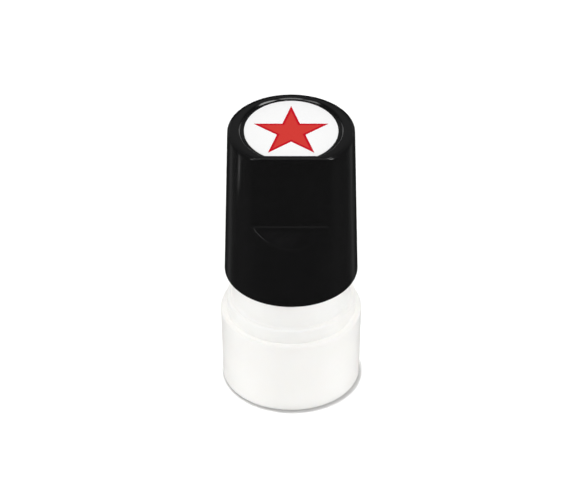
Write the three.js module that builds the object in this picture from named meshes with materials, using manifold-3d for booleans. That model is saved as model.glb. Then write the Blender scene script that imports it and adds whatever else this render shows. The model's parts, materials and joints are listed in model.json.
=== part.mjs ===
// A pre-inked round hand stamp that stands on its dust cap. Millimetres, +Z up, the origin on the
// table under the stamp's axis. The grip flat faces -Y.
//
// From the table up: the dust cap, the sleeve that stands in it, the plunger that slides in the
// sleeve and carries the die, and the handle that pushes onto the plunger's stem.

import * as THREE from "three";
import { mergeVertices } from "three/addons/utils/BufferGeometryUtils.js";
import Module from "manifold-3d";

// Driving dimensions.
const HEIGHT = 52.7; // table to the crest of the handle's rim
const CAP_HEIGHT = 14.5;
const CAP_RIM_RADIUS = 12.5;
const CAP_BASE_RADIUS = 12.15;
const SHOULDER_Z = 17.2; // ledge on the sleeve, above the cap
const SHOULDER_RADIUS = 11.4;
const NECK_RADIUS = 10.45;
const NECK_TOP_Z = 27;
const HANDLE_BOTTOM_Z = 22.7;
const HANDLE_BOTTOM_RADIUS = 11.76;
const HANDLE_TOP_RADIUS = 11.1;
const FLAT_DISTANCE = 8.8; // axis to the grip flat, at the top
const FLAT_END_Z = 38.4; // where the flat turns outwards
const FLAT_RUNOUT_Z = 35.1; // where it meets the round wall again
const LABEL_HALF_WIDTH = 8.2;
const LABEL_HALF_LENGTH = 9.05;
const RECESS_HALF_WIDTH = 8.85;
const RECESS_HALF_LENGTH = 9.35;
const STAR_RADIUS = 6.8; // centre to tip, before the stretch
const STAR_STRETCH = 1.14; // along Y
const STAR_SHIFT = -0.35; // along Y
const STROKE = 3.6; // how far the handle presses the die down
const PRINT_DEPTH = 0.1; // how far the pressed die passes the sleeve's edge

// Walls, fits and edges.
const SLIDE_GAP = 0.4; // plunger in the sleeve, on the radius
const CAP_GAP = 0.15; // sleeve in the cap, on the radius
const STEM_GAP = 0.25; // stem in the sleeve's guide, on the radius
const SOCKET_GAP = 0.3; // stem in the handle's socket, on the radius
const SKIRT_DRAFT = 0.03; // radius lost per millimetre of depth
const CAP_FLOOR = 1.3;
const HANDLE_WALL = 1.2;
const EDGE = 0.25;

// Heights, each worked out from the ones before.
const SLEEVE_BOTTOM_Z = 3;
const DIE_FACE_Z = SLEEVE_BOTTOM_Z + STROKE - PRINT_DEPTH;
const DIE_PAD_Z = DIE_FACE_Z + 0.8;
const RING_BOTTOM_Z = DIE_PAD_Z - 0.1;
const FLANGE_Z = RING_BOTTOM_Z + 0.5;
const MOUTH_Z = FLANGE_Z + 1;
const GRID_TOP_Z = MOUTH_Z + 1;
const RING_TOP_Z = MOUTH_Z + 2.2;
const DECK_Z = 16.9;
const DECK_TOP_Z = DECK_Z + 1.7;
const CHAMBER_TOP_Z = DECK_Z - 1.7;
const GUIDE_TOP_Z = DECK_TOP_Z + 3.9;
const SPRING_BOTTOM_Z = DECK_TOP_Z + 0.4;
const SPRING_TOP_Z = 34.5;
const COLLAR_TOP_Z = SPRING_TOP_Z + 1.4;
const CLIP_TOP_Z = COLLAR_TOP_Z + 0.6;
const SOCKET_BOTTOM_Z = CLIP_TOP_Z + 0.5;
const WEB_FOOT_Z = NECK_TOP_Z + STROKE + 0.05;
const O_RING_Z = 41;
const STEM_TOP_Z = 44.5;
const SEAL_TOP_Z = STEM_TOP_Z + 1;
const CAVITY_TOP_Z = HEIGHT - 2.1;
const LABEL_Z = HEIGHT - 0.5;
const LABEL_TOP_Z = LABEL_Z + 0.15;
const PRINT_TOP_Z = LABEL_TOP_Z + 0.05;

// Radii.
const SKIRT_BORE = 9.85;
const PLUNGER_RADIUS = SKIRT_BORE - SLIDE_GAP;
const RING_BORE = PLUNGER_RADIUS - 0.45;
const DIE_RADIUS = 8.1;
const DIE_FLANGE_RADIUS = 8.85;
const GRID_RADIUS = 8.35;
const CHAMBER_RADIUS = 7.9;
const STEM_RADIUS = 3.05;
const GROOVE_RADIUS = 2.35;
const INK_CHANNEL_RADIUS = 1.5;
const GUIDE_RADIUS = 4.6;
const SPRING_RADIUS = 5.5; // to the middle of the wire
const WIRE_RADIUS = 0.4;
const SPRING_TURNS = 8;
const COLLAR_RADIUS = 6.6;
const BOSS_RADIUS = 5;
const SOCKET_RADIUS = STEM_RADIUS + SOCKET_GAP;

// Ribs in the sleeve that run in slots of the plunger, and the key that turns stem with handle.
const RIB_WIDTH = 1.6;
const RIB_RADIUS = SKIRT_BORE - 0.55;
const KEY_WIDTH = 1;
const KEY_RADIUS = STEM_RADIUS + 0.6;
const KEY_GAP = 0.25;
const O_RING_GROOVE = 0.5; // half its width

// Sides of a full circle, and steps in a quarter of an outline's round.
const SIDES = 48;
const SMALL_SIDES = 32;
const ARC_STEPS = 2;

const wasm = await Module();
wasm.setup();

const HANDLE_DRAFT = (HANDLE_BOTTOM_RADIUS - HANDLE_TOP_RADIUS) / (HEIGHT - HANDLE_BOTTOM_Z);
const skirtRadius = (z) => SHOULDER_RADIUS - SKIRT_DRAFT * Math.max(0, CAP_HEIGHT - z);
const handleRadius = (z) => HANDLE_TOP_RADIUS + HANDLE_DRAFT * (HEIGHT - z);
const flatDistance = (z) => FLAT_DISTANCE + HANDLE_DRAFT * (HEIGHT - z);

// A closed geometry as a solid that can be cut and joined.
function solid(geometry) {
  const bare = new THREE.BufferGeometry();
  bare.setAttribute("position", geometry.getAttribute("position"));
  bare.setIndex(geometry.getIndex());
  const merged = mergeVertices(bare, 1e-4);
  return new wasm.Manifold(
    new wasm.Mesh({
      numProp: 3,
      vertProperties: merged.attributes.position.array,
      triVerts: new Uint32Array(merged.index.array),
    }),
  );
}

// A solid back as a geometry.
function geometryOf(made) {
  const mesh = made.getMesh();
  const geometry = new THREE.BufferGeometry();
  geometry.setAttribute("position", new THREE.BufferAttribute(mesh.vertProperties, 3));
  geometry.setIndex(new THREE.BufferAttribute(mesh.triVerts, 1));
  geometry.computeVertexNormals();
  return geometry;
}

// Turns an outline of radius and height, which runs counter-clockwise, about the Z axis.
function turned(outline, sides = SIDES) {
  const points = outline.getPoints(ARC_STEPS);
  const offAxis = points[0].x > 0;
  if (offAxis && !points.at(-1).equals(points[0])) points.push(points[0].clone());
  return solid(new THREE.LatheGeometry(points, sides).rotateX(Math.PI / 2));
}

// An outline through plain corners, given as [radius, height] pairs.
function corners(...pairs) {
  return new THREE.Path(pairs.map(([r, z]) => new THREE.Vector2(r, z)));
}

// A plain disc, or a ring when its inner radius isn't 0.
function ring(inner, outer, low, high, sides = SMALL_SIDES) {
  return turned(corners([inner, low], [outer, low], [outer, high], [inner, high]), sides);
}

// Extrudes an outline drawn in X and Y from one height to another.
function plate(outline, low, high) {
  const options = { depth: high - low, bevelEnabled: false, curveSegments: SIDES };
  return solid(new THREE.ExtrudeGeometry(outline, options).translate(0, 0, low));
}

// Extrudes an outline drawn in Y and Z along X, centred on the axis.
function across(outline, width) {
  const geometry = new THREE.ExtrudeGeometry(outline, { depth: width, bevelEnabled: false });
  const turn = new THREE.Matrix4().makeBasis(
    new THREE.Vector3(0, 1, 0),
    new THREE.Vector3(0, 0, 1),
    new THREE.Vector3(1, 0, 0),
  );
  return solid(geometry.translate(0, 0, -width / 2).applyMatrix4(turn));
}

// A block between two opposite corners.
function block(low, high) {
  const size = high.map((h, i) => h - low[i]);
  const centre = high.map((h, i) => (h + low[i]) / 2);
  return solid(new THREE.BoxGeometry(...size).translate(...centre));
}

// Two blocks on the X axis, one each side, from one radius to another.
function sideBlocks(inner, outer, width, low, high) {
  const right = block([inner, -width / 2, low], [outer, width / 2, high]);
  const left = block([-outer, -width / 2, low], [-inner, width / 2, high]);
  return right.add(left);
}

// The five-pointed star of the label and the die, one point towards +Y.
function starOutline() {
  const notch = (STAR_RADIUS * (3 - Math.sqrt(5))) / 2;
  const points = Array.from({ length: 10 }, (_, i) => {
    const reach = i % 2 ? notch : STAR_RADIUS;
    const angle = Math.PI / 2 + (i * Math.PI) / 5;
    return new THREE.Vector2(
      reach * Math.cos(angle),
      reach * Math.sin(angle) * STAR_STRETCH + STAR_SHIFT,
    );
  });
  return new THREE.Shape(points);
}

// An oval with its front cut off straight, at a distance from the axis.
function flatFrontedOval(halfWidth, halfLength, front) {
  const start = -Math.asin(front / halfLength);
  return new THREE.Shape().absellipse(0, 0, halfWidth, halfLength, start, Math.PI - start);
}

// Dust cap: a drafted cup with a foot ring, a ledge for the sleeve, and a well under the die.
function dustCap() {
  const foot = 0.4;
  const footInner = 9.2;
  const footHeight = 0.3;
  const rim = 0.7;
  const mouth = skirtRadius(CAP_HEIGHT) + CAP_GAP;
  const ledge = skirtRadius(SLEEVE_BOTTOM_Z) + CAP_GAP;
  const outline = new THREE.Path();
  outline.moveTo(0, footHeight);
  outline.lineTo(footInner - footHeight, footHeight);
  outline.lineTo(footInner, 0);
  outline.lineTo(CAP_BASE_RADIUS - foot, 0);
  outline.absarc(CAP_BASE_RADIUS - foot, foot, foot, -Math.PI / 2, 0);
  outline.lineTo(CAP_RIM_RADIUS, CAP_HEIGHT - rim);
  outline.absarc(CAP_RIM_RADIUS - rim, CAP_HEIGHT - rim, rim, 0, Math.PI / 2);
  outline.lineTo(mouth + EDGE / 2, CAP_HEIGHT);
  outline.lineTo(mouth, CAP_HEIGHT - EDGE / 2);
  outline.lineTo(ledge, SLEEVE_BOTTOM_Z);
  outline.lineTo(SKIRT_BORE, SLEEVE_BOTTOM_Z);
  outline.lineTo(SKIRT_BORE, CAP_FLOOR);
  outline.lineTo(0, CAP_FLOOR);
  return turned(outline);
}

// Sleeve: the skirt that stands on the paper, the shoulder, the neck inside the handle, and a
// deck across the neck with a guide tube for the stem. Two ribs stop the plunger turning.
function sleeve() {
  const shoulder = 1.2;
  const neckTopRadius = NECK_RADIUS - 0.25;
  const neckRound = 0.4;
  const neckBore = 9.3;
  const guideBore = STEM_RADIUS + STEM_GAP;
  const foot = skirtRadius(SLEEVE_BOTTOM_Z);
  const outline = new THREE.Path();
  outline.moveTo(SKIRT_BORE, SLEEVE_BOTTOM_Z);
  outline.lineTo(foot - EDGE, SLEEVE_BOTTOM_Z);
  outline.lineTo(foot, SLEEVE_BOTTOM_Z + EDGE);
  outline.lineTo(SHOULDER_RADIUS, CAP_HEIGHT);
  outline.absarc(SHOULDER_RADIUS - shoulder, SHOULDER_Z - shoulder, shoulder, 0, Math.PI / 4);
  outline.lineTo(NECK_RADIUS, SHOULDER_Z);
  outline.lineTo(neckTopRadius, NECK_TOP_Z - neckRound);
  outline.absarc(neckTopRadius - neckRound, NECK_TOP_Z - neckRound, neckRound, 0, Math.PI / 2);
  outline.lineTo(neckBore, NECK_TOP_Z);
  outline.lineTo(neckBore, DECK_TOP_Z);
  outline.lineTo(GUIDE_RADIUS, DECK_TOP_Z);
  outline.lineTo(GUIDE_RADIUS, GUIDE_TOP_Z);
  outline.lineTo(guideBore, GUIDE_TOP_Z);
  outline.lineTo(guideBore, DECK_Z);
  outline.lineTo(SKIRT_BORE, DECK_Z);
  const ribBottom = RING_TOP_Z + 0.4;
  const ribs = sideBlocks(RIB_RADIUS, SKIRT_BORE + 0.3, RIB_WIDTH, ribBottom, DECK_Z + 0.2);
  return turned(outline).add(ribs);
}

// Plunger: an ink chamber open downwards and a hollow stem, which is also the refill channel.
// The stem has grooves for the clip and the O-ring, and the key.
function dieHolder() {
  const mouthWall = RING_BORE - 0.05;
  const outline = corners(
    [GRID_RADIUS + 0.05, MOUTH_Z],
    [mouthWall, MOUTH_Z],
    [mouthWall, RING_TOP_Z],
    [PLUNGER_RADIUS, RING_TOP_Z],
    [PLUNGER_RADIUS, DECK_Z - EDGE],
    [PLUNGER_RADIUS - EDGE, DECK_Z],
    [STEM_RADIUS, DECK_Z],
    [STEM_RADIUS, COLLAR_TOP_Z],
    [GROOVE_RADIUS, COLLAR_TOP_Z],
    [GROOVE_RADIUS, CLIP_TOP_Z],
    [STEM_RADIUS, CLIP_TOP_Z],
    [STEM_RADIUS, O_RING_Z - O_RING_GROOVE],
    [GROOVE_RADIUS, O_RING_Z - O_RING_GROOVE],
    [GROOVE_RADIUS, O_RING_Z + O_RING_GROOVE],
    [STEM_RADIUS, O_RING_Z + O_RING_GROOVE],
    [STEM_RADIUS, STEM_TOP_Z - EDGE],
    [STEM_RADIUS - EDGE, STEM_TOP_Z],
    [INK_CHANNEL_RADIUS, STEM_TOP_Z],
    [INK_CHANNEL_RADIUS, CHAMBER_TOP_Z],
    [CHAMBER_RADIUS, CHAMBER_TOP_Z],
    [CHAMBER_RADIUS, GRID_TOP_Z],
    [GRID_RADIUS + 0.05, GRID_TOP_Z],
  );
  const slotBottom = RING_TOP_Z + 0.2;
  const slotTop = DECK_Z + 1;
  const slots = sideBlocks(RIB_RADIUS - 0.25, SKIRT_BORE, RIB_WIDTH + 0.6, slotBottom, slotTop);
  const key = block(
    [-KEY_WIDTH / 2, STEM_RADIUS - 0.3, O_RING_Z + O_RING_GROOVE + 0.4],
    [KEY_WIDTH / 2, KEY_RADIUS, STEM_TOP_Z - 0.5],
  );
  return turned(outline).subtract(slots).add(key);
}

// Bezel that snaps over the plunger's mouth and holds the die's flange.
function dieRing() {
  const lip = DIE_RADIUS + 0.1;
  return turned(
    corners(
      [lip, RING_BOTTOM_Z],
      [PLUNGER_RADIUS - EDGE, RING_BOTTOM_Z],
      [PLUNGER_RADIUS, RING_BOTTOM_Z + EDGE],
      [PLUNGER_RADIUS, RING_TOP_Z],
      [RING_BORE, RING_TOP_Z],
      [RING_BORE, FLANGE_Z],
      [lip, FLANGE_Z],
    ),
  );
}

// Die of porous rubber: a clamped flange, the pad that fills the bezel, and the raised star.
function stampDie() {
  const pad = ring(0, DIE_RADIUS, DIE_PAD_Z, FLANGE_Z + 0.2);
  const flange = ring(0, DIE_FLANGE_RADIUS, FLANGE_Z, MOUTH_Z);
  return flange.add(pad).add(plate(starOutline(), DIE_FACE_Z, DIE_PAD_Z + 0.2));
}

// Perforated plate that backs the die and lets the ink through.
function inkGrid() {
  const holeRadius = 0.85;
  const pitch = 3.1;
  const outline = new THREE.Shape().absarc(0, 0, GRID_RADIUS, 0, 2 * Math.PI);
  for (let row = -2; row <= 2; row += 1) {
    const inRow = 5 - Math.abs(row);
    for (let i = 0; i < inRow; i += 1) {
      const x = (i - (inRow - 1) / 2) * pitch;
      const y = row * pitch * Math.sin(Math.PI / 3);
      outline.holes.push(new THREE.Path().absarc(x, y, holeRadius, 0, 2 * Math.PI, true));
    }
  }
  const depth = GRID_TOP_Z - MOUTH_Z;
  const options = { depth, bevelEnabled: false, curveSegments: 8 };
  return solid(new THREE.ExtrudeGeometry(outline, options).translate(0, 0, MOUTH_Z));
}

// Felt that holds the ink, with a little air above it.
function inkFelt() {
  return ring(0, CHAMBER_RADIUS - 0.1, GRID_TOP_Z, CHAMBER_TOP_Z - 0.5);
}

// Washer under the spring.
function springWasher() {
  return ring(GUIDE_RADIUS + 0.15, COLLAR_RADIUS - 0.2, DECK_TOP_Z, SPRING_BOTTOM_Z);
}

// The wire's middle line: a helix whose end turns close up, so that the spring sits flat.
class SpringLine extends THREE.Curve {
  getPoint(share, target = new THREE.Vector3()) {
    const endTurn = 1 / SPRING_TURNS;
    const closedRise = 2 * WIRE_RADIUS + 0.05;
    const low = SPRING_BOTTOM_Z + WIRE_RADIUS;
    const high = SPRING_TOP_Z - WIRE_RADIUS;
    const openRise = high - low - 2 * closedRise;
    let z = low + closedRise + (openRise * (share - endTurn)) / (1 - 2 * endTurn);
    if (share < endTurn) z = low + (closedRise * share) / endTurn;
    if (share > 1 - endTurn) z = high - (closedRise * (1 - share)) / endTurn;
    const angle = 2 * Math.PI * SPRING_TURNS * share;
    return target.set(SPRING_RADIUS * Math.cos(angle), SPRING_RADIUS * Math.sin(angle), z);
  }
}

function returnSpring() {
  const section = new THREE.Shape().absarc(0, 0, WIRE_RADIUS, 0, 2 * Math.PI);
  const options = { extrudePath: new SpringLine(), steps: 16 * SPRING_TURNS, curveSegments: 4 };
  return solid(new THREE.ExtrudeGeometry(section, options));
}

// Flanged collar on the stem, which the spring holds up against the clip.
function springCollar() {
  const bore = STEM_RADIUS + 0.1;
  const hub = SPRING_RADIUS - WIRE_RADIUS - 0.25;
  const hubBottom = SPRING_TOP_Z - 1.5;
  const slope = 0.4;
  return turned(
    corners(
      [bore, hubBottom],
      [hub, hubBottom],
      [hub, SPRING_TOP_Z],
      [COLLAR_RADIUS, SPRING_TOP_Z],
      [COLLAR_RADIUS, COLLAR_TOP_Z - slope],
      [hub, COLLAR_TOP_Z],
      [bore, COLLAR_TOP_Z],
    ),
    SMALL_SIDES,
  );
}

// Snap ring in the stem's lower groove, open towards -Y so that it can be pushed on.
function retainingClip() {
  const outer = 4.5;
  const opening = Math.PI / 5; // each side of -Y
  const from = opening - Math.PI / 2;
  const to = (3 * Math.PI) / 2 - opening;
  const outline = new THREE.Shape();
  outline.absarc(0, 0, outer, from, to);
  outline.absarc(0, 0, GROOVE_RADIUS + 0.05, to, from, true);
  const options = { depth: CLIP_TOP_Z - COLLAR_TOP_Z, bevelEnabled: false, curveSegments: 16 };
  return solid(new THREE.ExtrudeGeometry(outline, options).translate(0, 0, COLLAR_TOP_Z));
}

// O-ring that grips the handle's socket.
function oRing() {
  const section = 0.42;
  const middle = GROOVE_RADIUS + 0.05 + section;
  return solid(new THREE.TorusGeometry(middle, section, 8, SMALL_SIDES).translate(0, 0, O_RING_Z));
}

// Everything in front of the handle's grip flat and of the slope at its foot, with both planes
// moved inwards by an inset.
function frontCutter(inset) {
  const slope = new THREE.Vector2(
    handleRadius(FLAT_RUNOUT_Z) - flatDistance(FLAT_END_Z),
    FLAT_RUNOUT_Z - FLAT_END_Z,
  );
  const outwards = new THREE.Vector2(-slope.y, slope.x).normalize();
  const foot = new THREE.Vector2(handleRadius(FLAT_RUNOUT_Z), FLAT_RUNOUT_Z);
  foot.addScaledVector(outwards, -inset);
  const slopeDistance = (z) => foot.x + ((z - foot.y) * slope.x) / slope.y;
  const insetFlat = (z) => flatDistance(z) - inset;
  const gap = (z) => slopeDistance(z) - insetFlat(z);
  const bendZ = foot.y + gap(foot.y) / (gap(foot.y) - gap(foot.y + 1));
  const top = HEIGHT + 5;
  const low = HANDLE_BOTTOM_Z;
  const shape = new THREE.Shape(
    [[insetFlat(top), top], [insetFlat(bendZ), bendZ], [slopeDistance(low), low],
      [slopeDistance(low), top]]
      .map(([distance, z]) => new THREE.Vector2(-distance, z)),
  );
  return across(shape, 4 * HANDLE_BOTTOM_RADIUS);
}

// One of the webs between the handle's socket and its wall, with its foot over the neck.
function handleWeb(turn) {
  const top = CAVITY_TOP_Z + 0.5;
  const inner = BOSS_RADIUS - 0.5;
  const footInner = 8.9;
  const wall = handleRadius(HANDLE_BOTTOM_Z);
  const outline = new THREE.Shape(
    [[inner, top], [inner, SOCKET_BOTTOM_Z + 3], [footInner, SOCKET_BOTTOM_Z - 0.5],
      [footInner, WEB_FOOT_Z], [wall, WEB_FOOT_Z], [wall, top]]
      .map(([r, z]) => new THREE.Vector2(r, z)),
  );
  return across(outline, 1).rotate([0, 0, turn]);
}

// Handle: a drafted shell with a grip flat, a recess for the label, a keyed socket for the stem,
// and four webs whose feet stop on the sleeve's neck at the end of the stroke.
function handle() {
  const rim = 0.4;
  const rimFall = 0.25;
  const rimCentreZ = HEIGHT - rimFall - rim;
  const outer = new THREE.Path();
  outer.moveTo(0, HANDLE_BOTTOM_Z);
  outer.lineTo(HANDLE_BOTTOM_RADIUS - EDGE, HANDLE_BOTTOM_Z);
  outer.lineTo(HANDLE_BOTTOM_RADIUS, HANDLE_BOTTOM_Z + EDGE);
  outer.lineTo(HANDLE_TOP_RADIUS, rimCentreZ);
  outer.absarc(HANDLE_TOP_RADIUS - rim, rimCentreZ, rim, 0, Math.PI / 2);
  outer.lineTo(RECESS_HALF_LENGTH + EDGE, HEIGHT);
  outer.lineTo(0, HEIGHT);
  const body = turned(outer);

  const mouth = HANDLE_BOTTOM_RADIUS - 0.8;
  const roof = handleRadius(CAVITY_TOP_Z) - HANDLE_WALL;
  const cavity = turned(
    corners([0, 0], [mouth, 0], [mouth, HANDLE_BOTTOM_Z], [roof, CAVITY_TOP_Z - 1],
      [roof - 1, CAVITY_TOP_Z], [0, CAVITY_TOP_Z]),
  );

  let core = ring(0, BOSS_RADIUS, SOCKET_BOTTOM_Z, CAVITY_TOP_Z + 0.5);
  for (const turn of [45, 135, 225, 315]) core = core.add(handleWeb(turn));

  const below = SOCKET_BOTTOM_Z - 1;
  const socket = ring(0, SOCKET_RADIUS, below, SEAL_TOP_Z).add(
    block(
      [-KEY_WIDTH / 2 - KEY_GAP, 0, below],
      [KEY_WIDTH / 2 + KEY_GAP, KEY_RADIUS + KEY_GAP, STEM_TOP_Z],
    ),
  );

  const recessFront = FLAT_DISTANCE - 0.9;
  const recess = plate(
    flatFrontedOval(RECESS_HALF_WIDTH, RECESS_HALF_LENGTH, recessFront),
    LABEL_Z,
    HEIGHT + 1,
  );
  return body
    .subtract(cavity.subtract(frontCutter(HANDLE_WALL)))
    .add(core.intersect(body))
    .subtract(frontCutter(0).add(socket).add(recess));
}

// Rubber disc at the end of the socket, which closes the ink channel.
function stemSeal() {
  return ring(0, SOCKET_RADIUS - 0.1, STEM_TOP_Z, SEAL_TOP_Z);
}

// Paper label in the handle's recess, and the star printed on it.
function indexLabel() {
  const front = FLAT_DISTANCE - 1.1;
  const outline = flatFrontedOval(LABEL_HALF_WIDTH, LABEL_HALF_LENGTH, front);
  return plate(outline, LABEL_Z, LABEL_TOP_Z);
}

function starPrint() {
  return plate(starOutline(), LABEL_TOP_Z, PRINT_TOP_Z);
}

const plastic = (color, roughness) => new THREE.MeshStandardMaterial({ color, roughness });
const WHITE_PLASTIC = plastic(0xf5f4f1, 0.4);
const BLACK_PLASTIC = plastic(0x161616, 0.25);
const NATURAL_PLASTIC = plastic(0xd9d6cc, 0.45);
const BLACK_RUBBER = plastic(0x202020, 0.8);
const INKED_RUBBER = plastic(0xb0242a, 0.7);
const INKED_FELT = plastic(0x8c1c22, 0.95);
const STEEL = new THREE.MeshStandardMaterial({ color: 0xb8bcc0, roughness: 0.3, metalness: 1 });
const PAPER = plastic(0xf9f9f9, 0.7);
const RED_INK = plastic(0xd83d37, 0.6);

const PIECES = [
  ["dust_cap", dustCap, WHITE_PLASTIC],
  ["sleeve", sleeve, WHITE_PLASTIC],
  ["spring_washer", springWasher, STEEL],
  ["return_spring", returnSpring, STEEL],
  ["die_holder", dieHolder, NATURAL_PLASTIC],
  ["die_ring", dieRing, BLACK_PLASTIC],
  ["stamp_die", stampDie, INKED_RUBBER],
  ["ink_grid", inkGrid, NATURAL_PLASTIC],
  ["ink_felt", inkFelt, INKED_FELT],
  ["spring_collar", springCollar, NATURAL_PLASTIC],
  ["retaining_clip", retainingClip, STEEL],
  ["o_ring", oRing, BLACK_RUBBER],
  ["handle", handle, BLACK_PLASTIC],
  ["stem_seal", stemSeal, BLACK_RUBBER],
  ["index_label", indexLabel, PAPER],
  ["star_print", starPrint, RED_INK],
];

const stamp = new THREE.Group();
for (const [name, build, look] of PIECES) {
  const mesh = new THREE.Mesh(geometryOf(build()), look);
  mesh.name = name;
  stamp.add(mesh);
}

export default stamp;
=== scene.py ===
import json
import math

import bmesh
import bpy
import numpy as np
from mathutils import Matrix, Vector


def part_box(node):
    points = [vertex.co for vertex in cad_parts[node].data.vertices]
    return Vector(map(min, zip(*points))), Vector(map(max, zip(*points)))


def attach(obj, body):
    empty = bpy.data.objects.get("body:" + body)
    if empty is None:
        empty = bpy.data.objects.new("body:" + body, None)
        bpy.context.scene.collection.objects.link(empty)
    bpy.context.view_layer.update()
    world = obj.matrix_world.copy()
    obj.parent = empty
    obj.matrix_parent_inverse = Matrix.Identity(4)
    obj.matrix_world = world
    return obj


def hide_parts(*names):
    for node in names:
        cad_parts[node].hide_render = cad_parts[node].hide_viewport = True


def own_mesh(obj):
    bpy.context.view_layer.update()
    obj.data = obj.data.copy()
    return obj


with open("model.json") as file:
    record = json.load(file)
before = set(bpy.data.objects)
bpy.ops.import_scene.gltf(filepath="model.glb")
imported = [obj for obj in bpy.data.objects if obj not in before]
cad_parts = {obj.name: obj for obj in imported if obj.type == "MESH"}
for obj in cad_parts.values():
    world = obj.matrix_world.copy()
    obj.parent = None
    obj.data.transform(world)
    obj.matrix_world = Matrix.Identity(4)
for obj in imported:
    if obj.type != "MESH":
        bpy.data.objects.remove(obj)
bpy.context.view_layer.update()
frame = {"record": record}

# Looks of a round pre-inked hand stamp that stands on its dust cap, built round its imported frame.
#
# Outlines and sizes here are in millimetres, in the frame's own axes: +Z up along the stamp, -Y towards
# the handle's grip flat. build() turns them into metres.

MM = 0.001
TINY = 1e-6  # a length below this counts as none
EDGE = 0.12  # rounding of a moulded edge that has no radius of its own
EDGE_SHARE = 0.4  # the most of an edge that one rounding may take up
GUARD = 1.2  # how far along its edge the point beside an arc lies, where the arc's end is 1
ARC_STEP = math.radians(15)
SHARP = math.radians(38)
SHELL_SIDES = 192
INNER_SIDES = 96
OVERLAP = 0.3  # how far a part that is joined on runs into its neighbour
CUT_PAST = 1  # how far a cutter runs past what it cuts


def low(node):
    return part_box(node)[0] / MM


def high(node):
    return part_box(node)[1] / MM


# ---------------------------------------------------------------------------------------------
# Meshes


def build(name, vertices, faces):
    """A mesh object from vertices in millimetres."""
    grown = bmesh.new()
    points = [grown.verts.new(Vector(v) * MM) for v in vertices]
    for face in faces:
        grown.faces.new([points[i] for i in face])
    return settle(name, grown)


def settle(name, grown):
    """An object from a bmesh, with its faces turned outwards."""
    bmesh.ops.recalc_face_normals(grown, faces=grown.faces)
    mesh = bpy.data.meshes.new(name)
    grown.to_mesh(mesh)
    grown.free()
    smooth(mesh)
    made = bpy.data.objects.new(name, mesh)
    bpy.context.scene.collection.objects.link(made)
    return made


def smooth(mesh):
    """Smooth shading that keeps sharp corners crisp."""
    mesh.shade_smooth()
    mesh.set_sharp_from_angle(angle=SHARP)


def softened(corners, closed):
    """An outline through corners of (radius, height) or (radius, height, rounding), as points.

    A rounding becomes an arc, with a point just before and after it that keeps long faces flat.
    """
    points = []
    last = len(corners) - 1
    for i, corner in enumerate(corners):
        here = Vector(corner[:2])
        rounding = corner[2] if len(corner) > 2 else EDGE
        if rounding == 0 or (not closed and i in (0, last)):
            points.append(here)
            continue
        back = Vector(corners[i - 1][:2]) - here
        ahead = Vector(corners[(i + 1) % len(corners)][:2]) - here
        half = back.angle(ahead) / 2
        reach = min(rounding / math.tan(half), EDGE_SHARE * back.length, EDGE_SHARE * ahead.length)
        radius = reach * math.tan(half)
        back.normalize()
        ahead.normalize()
        centre = here + (back + ahead).normalized() * radius / math.sin(half)
        start = here + back * reach - centre
        turn = start.angle_signed(here + ahead * reach - centre)
        steps = max(2, math.ceil(abs(turn) / ARC_STEP))
        points.append(here + back * reach * GUARD)
        for step in range(steps + 1):
            points.append(centre + Matrix.Rotation(-turn * step / steps, 2) @ start)
        points.append(here + ahead * reach * GUARD)
    return points


def skin(name, rings, closed):
    """Quads between rings of points. A ring of one point is a pole on the axis."""
    vertices = [point for ring in rings for point in ring]
    starts = np.cumsum([0] + [len(ring) for ring in rings])
    pairs = list(zip(range(len(rings)), range(1, len(rings))))
    if closed:
        pairs.append((len(rings) - 1, 0))
    faces = []
    for a, b in pairs:
        count = max(len(rings[a]), len(rings[b]))
        for i in range(count):
            j = (i + 1) % count
            corners = [starts[a] + i % len(rings[a]), starts[a] + j % len(rings[a])]
            corners += [starts[b] + j % len(rings[b]), starts[b] + i % len(rings[b])]
            faces.append(list(dict.fromkeys(int(c) for c in corners)))
    return build(name, vertices, faces)


def circle(radius, z, sides):
    """A ring of points about the Z axis, or the one point that a ring of no radius is."""
    if radius < TINY:
        return [(0, 0, z)]
    turns = [2 * math.pi * i / sides for i in range(sides)]
    return [(radius * math.cos(t), radius * math.sin(t), z) for t in turns]


def turned(name, corners, sides=INNER_SIDES):
    """An outline turned about the Z axis. It closes on itself, or starts and ends on the axis."""
    closed = corners[0][0] > 0
    points = softened(corners, closed)
    return skin(name, [circle(p.x, p.y, sides) for p in points], closed)


def plate(name, outline, bottom, top, rounding=0.04):
    """A flat piece with an outline in X and Y and rounded edges all round."""
    grown = bmesh.new()
    base = grown.faces.new([grown.verts.new((x * MM, y * MM, bottom * MM)) for x, y in outline])
    extruded = bmesh.ops.extrude_face_region(grown, geom=[base])["geom"]
    raised = [v for v in extruded if isinstance(v, bmesh.types.BMVert)]
    bmesh.ops.translate(grown, verts=raised, vec=(0, 0, (top - bottom) * MM))
    if rounding:
        rims = [e for e in grown.edges if abs(e.verts[0].co.z - e.verts[1].co.z) < TINY * MM]
        bmesh.ops.bevel(grown, geom=rims, offset=rounding * MM, segments=2, profile=0.5, affect="EDGES")
    bmesh.ops.triangulate(grown, faces=[f for f in grown.faces if len(f.verts) > 4])
    return settle(name, grown)


def block(name, x, y, z, rounding=0.08):
    """A block from a first to a second place on each axis."""
    outline = [(x[0], y[0]), (x[1], y[0]), (x[1], y[1]), (x[0], y[1])]
    return plate(name, outline, *z, rounding)


def combine(target, others, operation):
    """Joins others to target, or cuts them out of it, and removes them."""
    for other in others:
        change = target.modifiers.new("combine", "BOOLEAN")
        change.operation = operation
        change.solver = "EXACT"
        change.object = other
        view = bpy.context.evaluated_depsgraph_get()
        mesh = bpy.data.meshes.new_from_object(target.evaluated_get(view), depsgraph=view)
        target.modifiers.clear()
        old = target.data
        target.data = mesh
        bpy.data.meshes.remove(old)
        bpy.data.objects.remove(other)
    smooth(target.data)
    return target


# ---------------------------------------------------------------------------------------------
# Materials

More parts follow.
